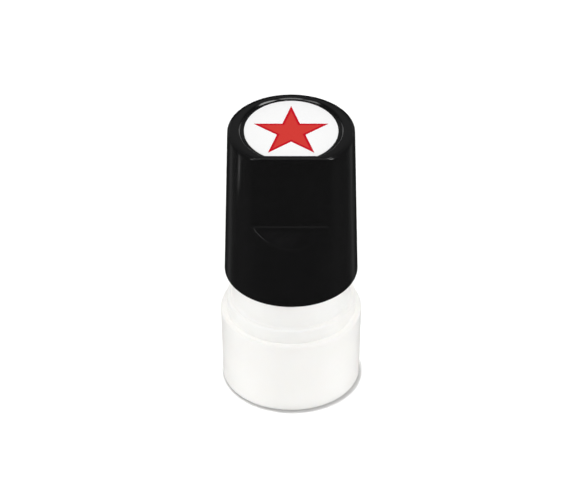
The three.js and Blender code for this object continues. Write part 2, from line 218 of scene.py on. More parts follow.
MIX_A, MIX_B, MIX_RESULT = 6, 7, 2  # a Mix node's sockets for colours, which share their names with others


class Nodes:
    """A material's node tree, built one named step at a time."""

    def __init__(self, name):
        self.material = bpy.data.materials.new(name)
        self.material.use_nodes = True
        self.tree = self.material.node_tree
        self.shader = self.tree.nodes["Principled BSDF"]
        self.place = self.add("ShaderNodeTexCoord").outputs["Object"]

    def add(self, kind, **settings):
        node = self.tree.nodes.new(kind)
        for key, value in settings.items():
            setattr(node, key, value)
        return node

    def feed(self, socket, value):
        if isinstance(value, bpy.types.NodeSocket):
            self.tree.links.new(value, socket)
        else:
            socket.default_value = value

    def set(self, **values):
        """Sets the shader's sockets by name, with _ for a space."""
        for key, value in values.items():
            self.feed(self.shader.inputs[key.replace("_", " ")], value)

    def stretched(self, x, y, z):
        """The place in the object, scaled along each axis."""
        node = self.add("ShaderNodeMapping")
        node.inputs["Scale"].default_value = (x, y, z)
        self.feed(node.inputs["Vector"], self.place)
        return node.outputs["Vector"]

    def noise(self, size, detail=2.0, distortion=0.0, place=None):
        """Cloudy noise from 0 to 1 with features of about the given size in millimetres."""
        node = self.add("ShaderNodeTexNoise")
        self.feed(node.inputs["Vector"], place or self.place)
        node.inputs["Scale"].default_value = 1 / (size * MM)
        node.inputs["Detail"].default_value = detail
        node.inputs["Distortion"].default_value = distortion
        return node.outputs["Fac"]

    def cells(self, size):
        """Distance to the nearest of scattered points, about the given size apart in millimetres."""
        node = self.add("ShaderNodeTexVoronoi")
        self.feed(node.inputs["Vector"], self.place)
        node.inputs["Scale"].default_value = 1 / (size * MM)
        return node.outputs["Distance"]

    def spread(self, value, low_in, high_in, low_out, high_out):
        """A value's range mapped onto another, and held inside it."""
        node = self.add("ShaderNodeMapRange")
        limits = {"From Min": low_in, "From Max": high_in, "To Min": low_out, "To Max": high_out}
        for key, number in limits.items():
            node.inputs[key].default_value = number
        self.feed(node.inputs["Value"], value)
        return node.outputs["Result"]

    def math(self, operation, a, b):
        node = self.add("ShaderNodeMath", operation=operation)
        self.feed(node.inputs[0], a)
        self.feed(node.inputs[1], b)
        return node.outputs[0]

    def mix(self, share, a, b):
        """Two colours mixed by a share from 0, all a, to 1, all b."""
        node = self.add("ShaderNodeMix", data_type="RGBA")
        self.feed(node.inputs["Factor"], share)
        self.feed(node.inputs[MIX_A], a)
        self.feed(node.inputs[MIX_B], b)
        return node.outputs[MIX_RESULT]

    def relief(self, height, depth):
        """Bumps of the given depth in millimetres, into the shader's normal."""
        node = self.add("ShaderNodeBump")
        node.inputs["Distance"].default_value = depth * MM
        self.feed(node.inputs["Height"], height)
        self.feed(self.shader.inputs["Normal"], node.outputs["Normal"])


def grey(level):
    return (level, level, level, 1)


def hairlines(nodes):
    """Fine rubbed lines, 1 on a line and 0 elsewhere, running mostly round the piece."""
    place = nodes.stretched(1, 1, 4)
    lines = nodes.noise(5, detail=4, distortion=1.5, place=place)
    off_line = nodes.math("ABSOLUTE", nodes.math("SUBTRACT", lines, 0.5), 0)
    patches = nodes.spread(nodes.noise(3), 0.5, 0.62, 0, 1)
    return nodes.math("MULTIPLY", nodes.spread(off_line, 0, 0.004, 1, 0), patches)


def black_gloss(name):
    """Polished black moulding with hairlines from handling and a trace of orange peel."""
    nodes = Nodes(name)
    clouds = nodes.noise(6, detail=3)
    worn = hairlines(nodes)
    roughness = nodes.spread(clouds, 0.35, 0.7, 0.12, 0.19)
    nodes.set(
        Base_Color=nodes.mix(clouds, (0.002, 0.002, 0.0022, 1), (0.0042, 0.0042, 0.0045, 1)),
        Roughness=nodes.math("ADD", roughness, nodes.math("MULTIPLY", worn, 0.12)),
        IOR=1.5,
    )
    peel = nodes.math("MULTIPLY", nodes.noise(1.1), 0.7)
    nodes.relief(nodes.math("SUBTRACT", peel, nodes.math("MULTIPLY", worn, 0.3)), 0.004)
    return nodes.material


def black_matt(name):
    """Black moulding with a fine grain."""
    nodes = Nodes(name)
    grain = nodes.noise(0.12, detail=3)
    nodes.set(
        Base_Color=nodes.mix(grain, grey(0.012), grey(0.022)),
        Roughness=nodes.spread(nodes.noise(2), 0.3, 0.7, 0.42, 0.55),
        IOR=1.5,
    )
    nodes.relief(grain, 0.012)
    return nodes.material


def white_plastic(name, shade, tint):
    """White moulding: faintly cloudy, a little light let in, satin with a fine skin."""
    nodes = Nodes(name)
    clouds = nodes.noise(7, detail=3)
    nodes.set(
        Base_Color=nodes.mix(nodes.spread(clouds, 0.3, 0.7, 0, 1), shade, tint),
        Roughness=nodes.spread(nodes.noise(3, detail=3), 0.3, 0.7, 0.32, 0.4),
        Specular_IOR_Level=0.25,
        Subsurface_Weight=0.12,
        Subsurface_Radius=(1.0, 0.85, 0.7),
        Subsurface_Scale=0.0008,
        IOR=1.49,
    )
    skin_grain = nodes.math("ADD", nodes.noise(0.9), nodes.math("MULTIPLY", nodes.noise(0.15), 0.15))
    nodes.relief(skin_grain, 0.004)
    return nodes.material


def natural_plastic(name, ink_top):
    """Uncoloured moulding that ink has stained up to a height in millimetres."""
    nodes = Nodes(name)
    split = nodes.add("ShaderNodeSeparateXYZ")
    nodes.feed(split.inputs[0], nodes.place)
    edge = nodes.math("ADD", split.outputs["Z"], nodes.math("MULTIPLY", nodes.noise(2, detail=4), 0.003))
    stain = nodes.spread(edge, (ink_top - 1.5) * MM, (ink_top + 3.5) * MM, 0.75, 0)
    clouds = nodes.mix(nodes.noise(3), (0.62, 0.6, 0.52, 1), (0.72, 0.7, 0.63, 1))
    nodes.set(
        Base_Color=nodes.mix(stain, clouds, (0.5, 0.07, 0.07, 1)),
        Roughness=nodes.spread(nodes.noise(1.5), 0.3, 0.7, 0.32, 0.45),
        Subsurface_Weight=0.3,
        Subsurface_Radius=(1.2, 0.9, 0.7),
        Subsurface_Scale=0.001,
        IOR=1.49,
    )
    nodes.relief(nodes.noise(0.3), 0.006)
    return nodes.material


def steel(name, roughness, scales):
    """Bare steel with fine drawn or rolled lines, packed most along the axis of the largest scale."""
    nodes = Nodes(name)
    lines = nodes.noise(0.08, detail=3, place=nodes.stretched(*scales))
    nodes.set(
        Base_Color=nodes.mix(nodes.noise(1.5), (0.5, 0.5, 0.51, 1), (0.62, 0.62, 0.63, 1)),
        Metallic=1.0,
        Roughness=nodes.spread(lines, 0.25, 0.75, roughness - 0.08, roughness + 0.1),
    )
    nodes.relief(lines, 0.004)
    return nodes.material


def porous_rubber(name):
    """Micro-porous rubber, wet with red ink."""
    nodes = Nodes(name)
    pores = nodes.spread(nodes.cells(0.16), 0.1, 0.5, 0, 1)
    wet = nodes.noise(1.6, detail=3)
    nodes.set(
        Base_Color=nodes.mix(pores, (0.16, 0.008, 0.012, 1), (0.5, 0.03, 0.035, 1)),
        Roughness=nodes.spread(wet, 0.35, 0.65, 0.28, 0.6),
        Specular_IOR_Level=0.4,
    )
    nodes.relief(nodes.math("ADD", pores, nodes.math("MULTIPLY", wet, 0.6)), 0.02)
    return nodes.material


def inked_felt(name):
    """Felt of matted fibres, soaked with red ink."""
    nodes = Nodes(name)
    fibres = nodes.noise(0.25, detail=6, distortion=2.5)
    nodes.set(
        Base_Color=nodes.mix(fibres, (0.12, 0.004, 0.008, 1), (0.38, 0.03, 0.035, 1)),
        Roughness=nodes.spread(fibres, 0.3, 0.7, 0.75, 0.98),
        Sheen_Weight=0.3,
    )
    nodes.relief(fibres, 0.12)
    return nodes.material


def seal_rubber(name):
    """Black rubber with a pale bloom."""
    nodes = Nodes(name)
    bloom = nodes.noise(0.8, detail=4)
    nodes.set(
        Base_Color=nodes.mix(bloom, grey(0.01), grey(0.024)),
        Roughness=nodes.spread(bloom, 0.3, 0.7, 0.5, 0.7),
    )
    nodes.relief(nodes.noise(0.1), 0.008)
    return nodes.material


def label_paper(name):
    """Coated white paper with a trace of fibre."""
    nodes = Nodes(name)
    fibres = nodes.noise(0.3, detail=5, distortion=2)
    nodes.set(
        Base_Color=nodes.mix(nodes.spread(fibres, 0.4, 0.7, 0, 1), grey(0.87), (0.84, 0.84, 0.835, 1)),
        Roughness=nodes.spread(fibres, 0.3, 0.7, 0.5, 0.62),
        Specular_IOR_Level=0.3,
    )
    nodes.relief(fibres, 0.005)
    return nodes.material


def printed_ink(name):
    """Red print whose outline took more ink than its middle."""
    nodes = Nodes(name)
    rim = nodes.add("ShaderNodeAttribute", attribute_name="rim").outputs["Fac"]
    speckle = nodes.noise(0.12, detail=3)
    thin = nodes.spread(speckle, 0.35, 0.75, 0, 1)
    middle = nodes.mix(thin, (0.59, 0.038, 0.03, 1), (0.56, 0.034, 0.027, 1))
    nodes.set(
        Base_Color=nodes.mix(rim, middle, (0.5, 0.002, 0.012, 1)),
        Roughness=nodes.spread(speckle, 0.3, 0.7, 0.45, 0.6),
        Specular_IOR_Level=0.1,
    )
    nodes.relief(speckle, 0.003)
    return nodes.material


INK_TOP = high("stamp_die").z + 1
MATERIALS = {
    "cap_plastic": white_plastic("cap_plastic", (0.885, 0.877, 0.853, 1), (0.9, 0.893, 0.872, 1)),
    "sleeve_plastic": white_plastic("sleeve_plastic", (0.89, 0.885, 0.865, 1), (0.905, 0.9, 0.882, 1)),
    "handle_plastic": black_gloss("handle_plastic"),
    "ring_plastic": black_matt("ring_plastic"),
    "natural_plastic": natural_plastic("natural_plastic", INK_TOP),
    "steel": steel("steel", 0.34, (1, 12, 1)),
    "spring_wire": steel("spring_wire", 0.26, (1, 1, 10)),
    "die_rubber": porous_rubber("die_rubber"),
    "felt": inked_felt("felt"),
    "seal_rubber": seal_rubber("seal_rubber"),
    "label_paper": label_paper("label_paper"),
    "label_ink": printed_ink("label_ink"),
}
SLOTS = {row["node"]: row["material_slot"] for row in frame["record"]["subparts"]}
BODIES = {
    node: body
    for body, nodes in frame["record"]["behaviour"]["bodies"].items()
    for node in nodes
}


def stand_in(made, node):
    """The finished piece takes its CAD node's place, body and material."""
    made.data.materials.clear()
    made.data.materials.append(MATERIALS[SLOTS[node]])
    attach(made, BODIES[node])
    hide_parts(node)
    return made


# ---------------------------------------------------------------------------------------------
# Dust cap and sleeve

SLEEVE_BOTTOM = low("sleeve").z
CAP_TOP = high("dust_cap").z
CAP_RIM_RADIUS = high("dust_cap").x
SHOULDER_RADIUS = high("sleeve").x
SKIRT_FOOT_RADIUS = 11.05
CAP_GAP = 0.15
MOUTH_GAP = 0.02  # the cap's mouth closes in on the sleeve
SKIRT_BORE = 9.85
SHOULDER_Z = 17.2
NECK_RADIUS = 10.45
NECK_TOP_RADIUS = 10.2
PLUNGER_STOP = 16.9  # the plunger's deck rests against the sleeve's here


def dust_cap():
    base_radius = 12.15
    well_floor = 1.3
    recess = 0.3
    recess_radius, foot_radius = 8.9, 9.2
    gate = recess - 0.12  # the low stub in the middle, where the plastic was let into the mould
    mouth = SHOULDER_RADIUS + MOUTH_GAP
    snug, slack = CAP_TOP - 1, CAP_TOP - 1.8
    return turned("cap_shell", [
        (0, gate),
        (0.55, gate, 0.1),
        (0.75, recess, 0.1),
        (recess_radius, recess, 0.15),
        (foot_radius, 0, 0.12),
        (base_radius, 0, 0.4),
        (CAP_RIM_RADIUS, CAP_TOP, 0.75),
        (mouth, CAP_TOP, 0.05),
        (SHOULDER_RADIUS, snug, 0.1),
        (mouth + 0.06, slack, 0.2),
        (SKIRT_FOOT_RADIUS + CAP_GAP, SLEEVE_BOTTOM, 0.1),
        (SKIRT_BORE, SLEEVE_BOTTOM, 0.15),
        (SKIRT_BORE, well_floor, 0.3),
        (0, well_floor),
    ], SHELL_SIDES)


def sleeve():
    neck_top = high("sleeve").z
    neck_bore = 9.3
    deck_top = low("spring_washer").z
    guide_outer, guide_bore, guide_top = 4.6, 3.3, deck_top + 3.9
    rib_depth, rib_half_width = 0.55, 0.8
    rib_heights = (high("die_ring").z + 0.4, PLUNGER_STOP + OVERLAP)
    made = turned("sleeve_shell", [
        (SKIRT_BORE, SLEEVE_BOTTOM, 0.1),
        (SKIRT_FOOT_RADIUS, SLEEVE_BOTTOM, 0.25),
        (SHOULDER_RADIUS, CAP_TOP, 0.5),
        (SHOULDER_RADIUS, SHOULDER_Z, 1.1),
        (NECK_RADIUS, SHOULDER_Z, 0.7),
        (NECK_TOP_RADIUS, neck_top, 0.4),
        (neck_bore, neck_top, 0.2),
        (neck_bore, deck_top, 0.3),
        (guide_outer, deck_top, 0.25),
        (guide_outer, guide_top, 0.2),
        (guide_bore, guide_top, 0.15),
        (guide_bore, PLUNGER_STOP, 0.1),
        (SKIRT_BORE, PLUNGER_STOP, 0.2),
    ], SHELL_SIDES)
    ribs = []
    for side in (-1, 1):
        x = sorted((side * (SKIRT_BORE - rib_depth), side * (SKIRT_BORE + OVERLAP)))
        ribs.append(block("rib", x, (-rib_half_width, rib_half_width), rib_heights))
    return combine(made, ribs, "UNION")


# ---------------------------------------------------------------------------------------------
# Plunger

PLUNGER_RADIUS = high("die_holder").x
STEM_RADIUS = 3.05
GROOVE_RADIUS = 2.35
KEY_HALF_WIDTH = 0.5
KEY_HEIGHT = 0.6
RING_LIP = 0.5
COLLAR_STEP = 1.5  # from the collar's foot up to its flange, which the spring pushes on


def die_holder():
    mouth, top = low("die_holder").z, high("die_holder").z
    ring_top = high("die_ring").z
    wall = PLUNGER_RADIUS - 0.5
    grid_radius, grid_top = high("ink_grid").x + 0.05, high("ink_grid").z
    chamber_radius, chamber_top = 7.9, PLUNGER_STOP - 1.7
    clip = (low("retaining_clip").z, high("retaining_clip").z)
    ring_middle = (high("o_ring").z + low("o_ring").z) / 2
    groove = (ring_middle - 0.5, ring_middle + 0.5)
    channel = 1.5
    made = turned("plunger_body", [
        (grid_radius, mouth, 0.08),
        (wall, mouth, 0.1),
        (wall, ring_top, 0.05),
        (PLUNGER_RADIUS, ring_top, 0.15),
        (PLUNGER_RADIUS, PLUNGER_STOP, 0.3),
        (STEM_RADIUS, PLUNGER_STOP, 0.25),
        (STEM_RADIUS, clip[0], 0.06),
        (GROOVE_RADIUS, clip[0], 0.05),
        (GROOVE_RADIUS, clip[1], 0.05),
        (STEM_RADIUS, clip[1], 0.06),
        (STEM_RADIUS, groove[0], 0.06),
        (GROOVE_RADIUS, groove[0], 0.15),
        (GROOVE_RADIUS, groove[1], 0.15),
        (STEM_RADIUS, groove[1], 0.06),
        (STEM_RADIUS, top, 0.3),
        (channel, top, 0.2),
        (channel, chamber_top, 0.2),
        (chamber_radius, chamber_top, 0.3),
        (chamber_radius, grid_top, 0.08),
        (grid_radius, grid_top, 0.05),
    ])
    slot_radius, slot_half_width = 9.05, 1.1
    slot_heights = (ring_top + 0.2, PLUNGER_STOP + CUT_PAST)
    slots = []
    for side in (-1, 1):
        x = sorted((side * slot_radius, side * (PLUNGER_RADIUS + CUT_PAST)))
        slots.append(block("slot", x, (-slot_half_width, slot_half_width), slot_heights))
    key_reach = (STEM_RADIUS - OVERLAP, STEM_RADIUS + KEY_HEIGHT)
    key_heights = (groove[1] + 0.4, top - 0.5)
    key = block("key", (-KEY_HALF_WIDTH, KEY_HALF_WIDTH), key_reach, key_heights)
    return combine(combine(made, slots, "DIFFERENCE"), [key], "UNION")


def die_ring():
    bottom, top = low("die_ring").z, high("die_ring").z
    lip = 8.2
    bore = PLUNGER_RADIUS - 0.45
    return turned("ring_bezel", [
        (lip, bottom, 0.12),
        (PLUNGER_RADIUS, bottom, 0.3),
        (PLUNGER_RADIUS, top, 0.12),
        (bore, top, 0.08),
        (bore, bottom + RING_LIP, 0.05),
        (lip, bottom + RING_LIP, 0.08),
    ])


STAR_CORNERS = 10  # five points and five notches
STAR_RADIUS = 6.8
STAR_STRETCH = 1.14
STAR_SHIFT = -0.35


def star(inset=0.0):
    """The star's outline, one point towards +Y, moved in by an inset."""
    notch = STAR_RADIUS * (3 - math.sqrt(5)) / 2
    corners = []
    for i in range(STAR_CORNERS):
        reach = notch if i % 2 else STAR_RADIUS
        angle = math.pi * (0.5 + i / 5)
        x, y = reach * math.cos(angle), reach * math.sin(angle)
        corners.append(Vector((x, y * STAR_STRETCH + STAR_SHIFT)))
    moved = []
    for i, here in enumerate(corners):
        before = (here - corners[i - 1]).normalized()
        after = (corners[(i + 1) % STAR_CORNERS] - here).normalized()
        inwards = Vector((-before.y - after.y, before.x + after.x)).normalized()
        across = inwards.dot(Vector((-before.y, before.x)))
        moved.append(here + inwards * inset / across)
    return moved


def stamp_die():
    face, back = low("stamp_die").z, high("stamp_die").z
    pad, flange = face + 0.8, low("die_ring").z + RING_LIP
    pad_radius, flange_radius = 8.1, 8.85
    made = turned("die_pad", [
        (0, pad),
        (pad_radius, pad, 0.12),
        (pad_radius, flange, 0.04),
        (flange_radius, flange, 0.1),
        (flange_radius, back, 0.1),
        (0, back),
    ])
    return combine(made, [plate("star", star(), face, pad + OVERLAP, 0.06)], "UNION")


def ink_grid():
    bottom, top = low("ink_grid").z, high("ink_grid").z
    radius = high("ink_grid").x
    made = turned("grid_plate", [(0, bottom), (radius, bottom), (radius, top), (0, top)])
    pitch, hole_radius, hole_sides = 3.1, 0.85, 24
    holes = []
    for row in range(-2, 3):
        in_row = 5 - abs(row)
        for i in range(in_row):
            x = (i - (in_row - 1) / 2) * pitch
            y = row * pitch * math.sin(math.pi / 3)
            outline = [(x + p[0], y + p[1]) for p in circle(hole_radius, 0, hole_sides)]
            holes.append(plate("hole", outline, bottom - CUT_PAST, top + CUT_PAST, 0))
    return combine(made, holes, "DIFFERENCE")


def ink_felt():
    bottom, top = low("ink_felt").z, high("ink_felt").z
    radius = high("ink_felt").x
    made = turned("felt_store", [(0, bottom), (radius, bottom, 0.3), (radius, top, 0.5), (0, top)])
    # Tufts: a point above the foot moves in and down by a seeded random share of the most it may, so
    # that the felt stays inside its chamber.
    foot, side_share, top_drop = 0.2, 0.006, 0.08
    random = np.random.default_rng(4)
    for vertex, pull in zip(made.data.vertices, random.random(len(made.data.vertices))):
        if vertex.co.z > (bottom + foot) * MM:
            vertex.co.xy *= 1 - side_share * pull
            vertex.co.z -= top_drop * MM * pull
    return made


def spring_washer():
    bottom, top = low("spring_washer").z, high("spring_washer").z
    bore, outer = 4.75, high("spring_washer").x
    return turned("washer_disc", [(bore, bottom), (outer, bottom), (outer, top), (bore, top)])


def return_spring():
    """Round wire on a helix whose end turns close up."""
    bottom, top = high("spring_washer").z, low("spring_collar").z + COLLAR_STEP
    wire = 0.4
    coil = high("return_spring").x - wire
    turns = 8
    steps = 56
    sides = 14
    closed_rise = 2 * wire + 0.05
    start, end = bottom + wire, top - wire
    around = [2 * math.pi * k / sides for k in range(sides)]
    rings = []
    for i in range(turns * steps + 1):
        turn = i / steps
        if turn < 1:
            z = start + closed_rise * turn
        elif turn > turns - 1:
            z = end - closed_rise * (turns - turn)
        else:
            open_share = (turn - 1) / (turns - 2)
            z = start + closed_rise + (end - start - 2 * closed_rise) * open_share
        angle = 2 * math.pi * turn
        out = Vector((math.cos(angle), math.sin(angle), 0))
        centre = out * coil + Vector((0, 0, z))
        # The last steps at each end taper, as cut wire does.
        near_end = min(i, turns * steps - i)
        thick = wire * min(1, 0.6 + 0.2 * near_end)
        rings.append([centre + thick * (out * math.cos(a) + Vector((0, 0, math.sin(a)))) for a in around])
    first = sum(rings[0], Vector()) / sides
    last = sum(rings[-1], Vector()) / sides
    return skin("spring_coil", [[first], *rings, [last]], False)


def spring_collar():
    bottom, top = low("spring_collar").z, high("spring_collar").z
    bore, hub = STEM_RADIUS + 0.1, 4.85
    outer = high("spring_collar").x
    flange = bottom + COLLAR_STEP
    return turned("collar_flange", [
        (bore, bottom, 0.1),
        (hub, bottom, 0.15),
        (hub, flange, 0.15),
        (outer, flange, 0.12),
        (outer, top - 0.4, 0.12),
        (hub, top, 0.2),
        (bore, top, 0.1),
    ])


def retaining_clip():
    bottom, top = low("retaining_clip").z, high("retaining_clip").z
    outer, inner = high("retaining_clip").x, GROOVE_RADIUS + 0.05
    opening, steps = math.pi / 5, 60
    span = 2 * math.pi - 2 * opening
    turns = [opening - math.pi / 2 + span * i / steps for i in range(steps + 1)]
    outline = [(outer * math.cos(t), outer * math.sin(t)) for t in turns]
    outline += [(inner * math.cos(t), inner * math.sin(t)) for t in reversed(turns)]
    return plate("clip_ring", outline, bottom, top, 0.08)


def o_ring():
    middle = (low("o_ring").z + high("o_ring").z) / 2
    section = (high("o_ring").z - low("o_ring").z) / 2
    radius = high("o_ring").x - section
    sides = 20
    angles = [2 * math.pi * i / sides for i in range(sides)]
    rings = [
        circle(radius + section * math.cos(a), middle + section * math.sin(a), INNER_SIDES)
        for a in angles
    ]
    return skin("o_ring_loop", rings, True)


# ---------------------------------------------------------------------------------------------
# Handle

HANDLE_BOTTOM = low("handle").z
HANDLE_TOP = high("handle").z
HANDLE_BOTTOM_RADIUS = high("handle").x
HANDLE_TOP_RADIUS = 11.1
DRAFT = (HANDLE_BOTTOM_RADIUS - HANDLE_TOP_RADIUS) / (HANDLE_TOP - HANDLE_BOTTOM)
HANDLE_WALL = 1.2
ROOF_DEPTH = 2.1  # from the top down to the inside of the roof
SOCKET_MOUTH = high("retaining_clip").z + 0.5
KEY_PLAY = 0.25

# The grip flat, and the slope under it that runs out on the round wall
FLAT_DISTANCE = 8.8
FLAT_END_Z = 38.4
FLAT_RUNOUT_Z = 35.1
CREASE_BLEND = 0.5
EDGE_BLEND = 0.22
CORNER_BLEND = 0.6  # where the flat's side edges meet the rim
CORNER_HEIGHT = 1.5

# The rim, which rises gently from its outer rounding to the crest at the label's recess
RIM_ROUND = 0.4
RIM_FALL = 0.25
FLAT_RIM_ROUND = 0.25
CREST_HALF_WIDTH = 9.2
CREST_HALF_LENGTH = 9.7
CREST_FRONT = 8.1

UNCUT = 99  # a front that is too far out to cut anything
CUT_AHEAD = 0.3  # a direction whose part straight ahead is less than this never meets the cut
FRONT_SPAN = math.radians(48)
FRONT_COLUMNS = 160
BACK_COLUMNS = 264


def smooth_min(a, b, blend):
    """The smaller of two values, rounded off where they come within a blend of each other."""
    near = max(blend - abs(a - b), 0) / blend
    return min(a, b) - near * near * blend / 4


def handle_radius(z):
    return HANDLE_TOP_RADIUS + DRAFT * (HANDLE_TOP - z)


def front_distance(z, inset=0.0):
    """How far the handle's front reaches at a height: its flat, then the slope that runs out."""
    flat = FLAT_DISTANCE + DRAFT * (HANDLE_TOP - z)
    bend = FLAT_DISTANCE + DRAFT * (HANDLE_TOP - FLAT_END_Z)
    lean = (handle_radius(FLAT_RUNOUT_Z) - bend) / (FLAT_END_Z - FLAT_RUNOUT_Z)
    slope = bend + lean * (FLAT_END_Z - z)
    lean_inset = inset * math.hypot(1, lean)
    return -smooth_min(inset - flat, lean_inset - slope, CREASE_BLEND)


def front_columns():
    """Directions round the axis from the grip flat's middle, closer together over the flat."""
    front = np.linspace(-FRONT_SPAN, FRONT_SPAN, FRONT_COLUMNS, endpoint=False)
    back = np.linspace(FRONT_SPAN, 2 * math.pi - FRONT_SPAN, BACK_COLUMNS, endpoint=False)
    return np.concatenate([front, back])


def flatted_ring(z, half_width, front=UNCUT, half_length=None, blend=EDGE_BLEND):
    """An oval ring with its front cut off at a distance, and the cut's two corners rounded by a blend."""
    if half_width < TINY:
        return [(0, 0, z)]
    ring = []
    for angle in front_columns():
        across, ahead = math.sin(angle), math.cos(angle)
        reach = 1 / math.hypot(across / half_width, ahead / (half_length or half_width))
        if ahead > CUT_AHEAD:
            reach = smooth_min(reach, front / ahead, blend)
        ring.append((reach * across, -reach * ahead, z))
    return ring


def arc_rows(steps):
    """Angles from just above 0 to a right angle."""
    return [math.pi / 2 * (i + 1) / steps for i in range(steps)]


def outside_rows():
    """What flatted_ring() takes for each ring, from the bottom edge up to the middle of the recess."""
    rows = []
    edge = 0.3
    for a in [0, *arc_rows(5)]:
        radius = HANDLE_BOTTOM_RADIUS - edge * (1 - math.sin(a))
        rows.append((HANDLE_BOTTOM + edge * (1 - math.cos(a)), radius))
    rim_z = HANDLE_TOP - RIM_FALL - RIM_ROUND
    # The rings are close together over the slope and at the flat's upper corners.
    wall = [HANDLE_BOTTOM + 0.6, 26, 30, 34, *np.arange(34.4, 39.6, 0.12), 40, 43, 47]
    wall += list(np.linspace(rim_z - CORNER_HEIGHT, rim_z, 9))
    for z in wall:
        up = max(0, 1 - (rim_z - z) / CORNER_HEIGHT)
        blend = EDGE_BLEND + (CORNER_BLEND - EDGE_BLEND) * up * up
        rows.append((z, handle_radius(z), front_distance(z), None, blend))

    def rim_front(z):
        """The flat's distance at a height, with its top edge rounded."""
        up = max(0, z - (HANDLE_TOP - FLAT_RIM_ROUND)) / FLAT_RIM_ROUND
        return front_distance(z) - FLAT_RIM_ROUND * (1 - math.sqrt(max(0, 1 - up * up)))

    for a in arc_rows(8):
        z = rim_z + RIM_ROUND * math.sin(a)
        radius = handle_radius(rim_z) - RIM_ROUND * (1 - math.cos(a))
        rows.append((z, radius, rim_front(z), None, CORNER_BLEND))
    rim_inner = handle_radius(rim_z) - RIM_ROUND
    front_step = rim_front(HANDLE_TOP) - CREST_FRONT
    for a in arc_rows(12):
        z = HANDLE_TOP - RIM_FALL * (1 - math.sin(a))
        share = 1 - math.cos(a)
        half_width = rim_inner + (CREST_HALF_WIDTH - rim_inner) * share
        half_length = rim_inner + (CREST_HALF_LENGTH - rim_inner) * share
        blend = CORNER_BLEND + (EDGE_BLEND - CORNER_BLEND) * share
        rows.append((z, half_width, rim_front(z) - front_step * share * share, half_length, blend))
    recess_floor = low("index_label").z
    fall = HANDLE_TOP - recess_floor
    # The recess's lip as ways in and down from the crest: a rounding, a bevel, the wall and its foot.
    lip = [(0.03, 0.005), (0.07, 0.02), (0.11, 0.05), (0.2, 0.14), (0.3, 0.25), (0.33, 0.29), (0.35, 0.34)]
    lip += [(0.36, fall - 0.1), (0.39, fall - 0.03), (0.45, fall)]
    front_share = 0.75  # the recess's straight front steps in by this much of what its round part does
    for inwards, down in lip:
        half_width, half_length = CREST_HALF_WIDTH - inwards, CREST_HALF_LENGTH - inwards
        rows.append((HANDLE_TOP - down, half_width, CREST_FRONT - front_share * inwards, half_length))
    rows.append((recess_floor, 7.5, 6.5))
    rows.append((recess_floor, 0))
    return rows


def inside_rows():
    """What flatted_ring() takes for each ring, from the middle of the socket's end to the bottom edge."""
    roof = HANDLE_TOP - ROOF_DEPTH
    socket_end = high("stem_seal").z
    socket, boss = STEM_RADIUS + 0.3, 5
    mouth = HANDLE_BOTTOM_RADIUS - 0.8
    roof_radius = handle_radius(roof) - HANDLE_WALL
    rows = [(socket_end, 0), (socket_end, socket), (SOCKET_MOUTH + 0.3, socket)]
    rows += [(SOCKET_MOUTH, socket + 0.3), (SOCKET_MOUTH, boss - 0.15)]
    rows += [(SOCKET_MOUTH + 0.15, boss), (roof - 0.4, boss), (roof, boss + 0.4)]

    def wall_radius(z):
        share = (z - HANDLE_BOTTOM) / (roof - HANDLE_BOTTOM)
        return mouth + (roof_radius - mouth) * share

    # The corner between roof and wall is rounded off.
    rows.append((roof, roof_radius - 1.6, front_distance(roof, HANDLE_WALL) - 0.6))
    rows.append((roof, roof_radius - 1, front_distance(roof, HANDLE_WALL) - 0.3))
    for z in (roof - 0.3, roof - 1, 45, 40, *np.arange(39, 33.8, -0.3), 30, 26, HANDLE_BOTTOM + 0.5):
        rows.append((z, wall_radius(z) - max(0, 1 - (roof - z)), front_distance(z, HANDLE_WALL)))
    rows.append((HANDLE_BOTTOM + 0.15, mouth))
    rows.append((HANDLE_BOTTOM, mouth + 0.15))
    return rows


def handle():
    rows = inside_rows() + outside_rows()
    made = skin("handle_shell", [flatted_ring(*row) for row in rows], False)
    web_top = HANDLE_TOP - ROOF_DEPTH + OVERLAP
    foot = high("sleeve").z + 3.65
    boss_inner, foot_inner = 4.5, 8.9
    web_half_width = 0.5
    webs = []
    for turn in (45, 135, 225, 315):
        outline = [(boss_inner, web_top), (boss_inner, SOCKET_MOUTH + 3), (foot_inner, SOCKET_MOUTH - 0.5)]
        outline += [(foot_inner, foot), (10.7, foot), (10.4, 48), (10, web_top)]
        web = plate("web", outline, -web_half_width, web_half_width, 0.06)
        upright = Matrix.Rotation(math.radians(turn), 4, "Z") @ Matrix.Rotation(math.pi / 2, 4, "X")
        web.data.transform(upright)
        webs.append(web)
    half_width, reach = KEY_HALF_WIDTH + KEY_PLAY, STEM_RADIUS + KEY_HEIGHT + KEY_PLAY
    keyway_heights = (SOCKET_MOUTH - CUT_PAST, high("die_holder").z)
    keyway = block("keyway", (-half_width, half_width), (0, reach), keyway_heights)
    return combine(combine(made, webs, "UNION"), [keyway], "DIFFERENCE")


def stem_seal():
    bottom, top = low("stem_seal").z, high("stem_seal").z
    radius = high("stem_seal").x
    return turned("seal_disc", [(0, bottom), (radius, bottom, 0.15), (radius, top, 0.15), (0, top)])


def index_label():
    bottom, top = low("index_label").z, high("index_label").z
    half_width, half_length = high("index_label").x, high("index_label").y
    front = -low("index_label").y
    start = -math.asin(front / half_length)
    span, steps = math.pi - 2 * start, 160
    turns = [start + span * i / steps for i in range(steps + 1)]
    outline = [(half_width * math.cos(t), half_length * math.sin(t)) for t in turns]
    return plate("label_disc", outline, bottom, top, 0.03)


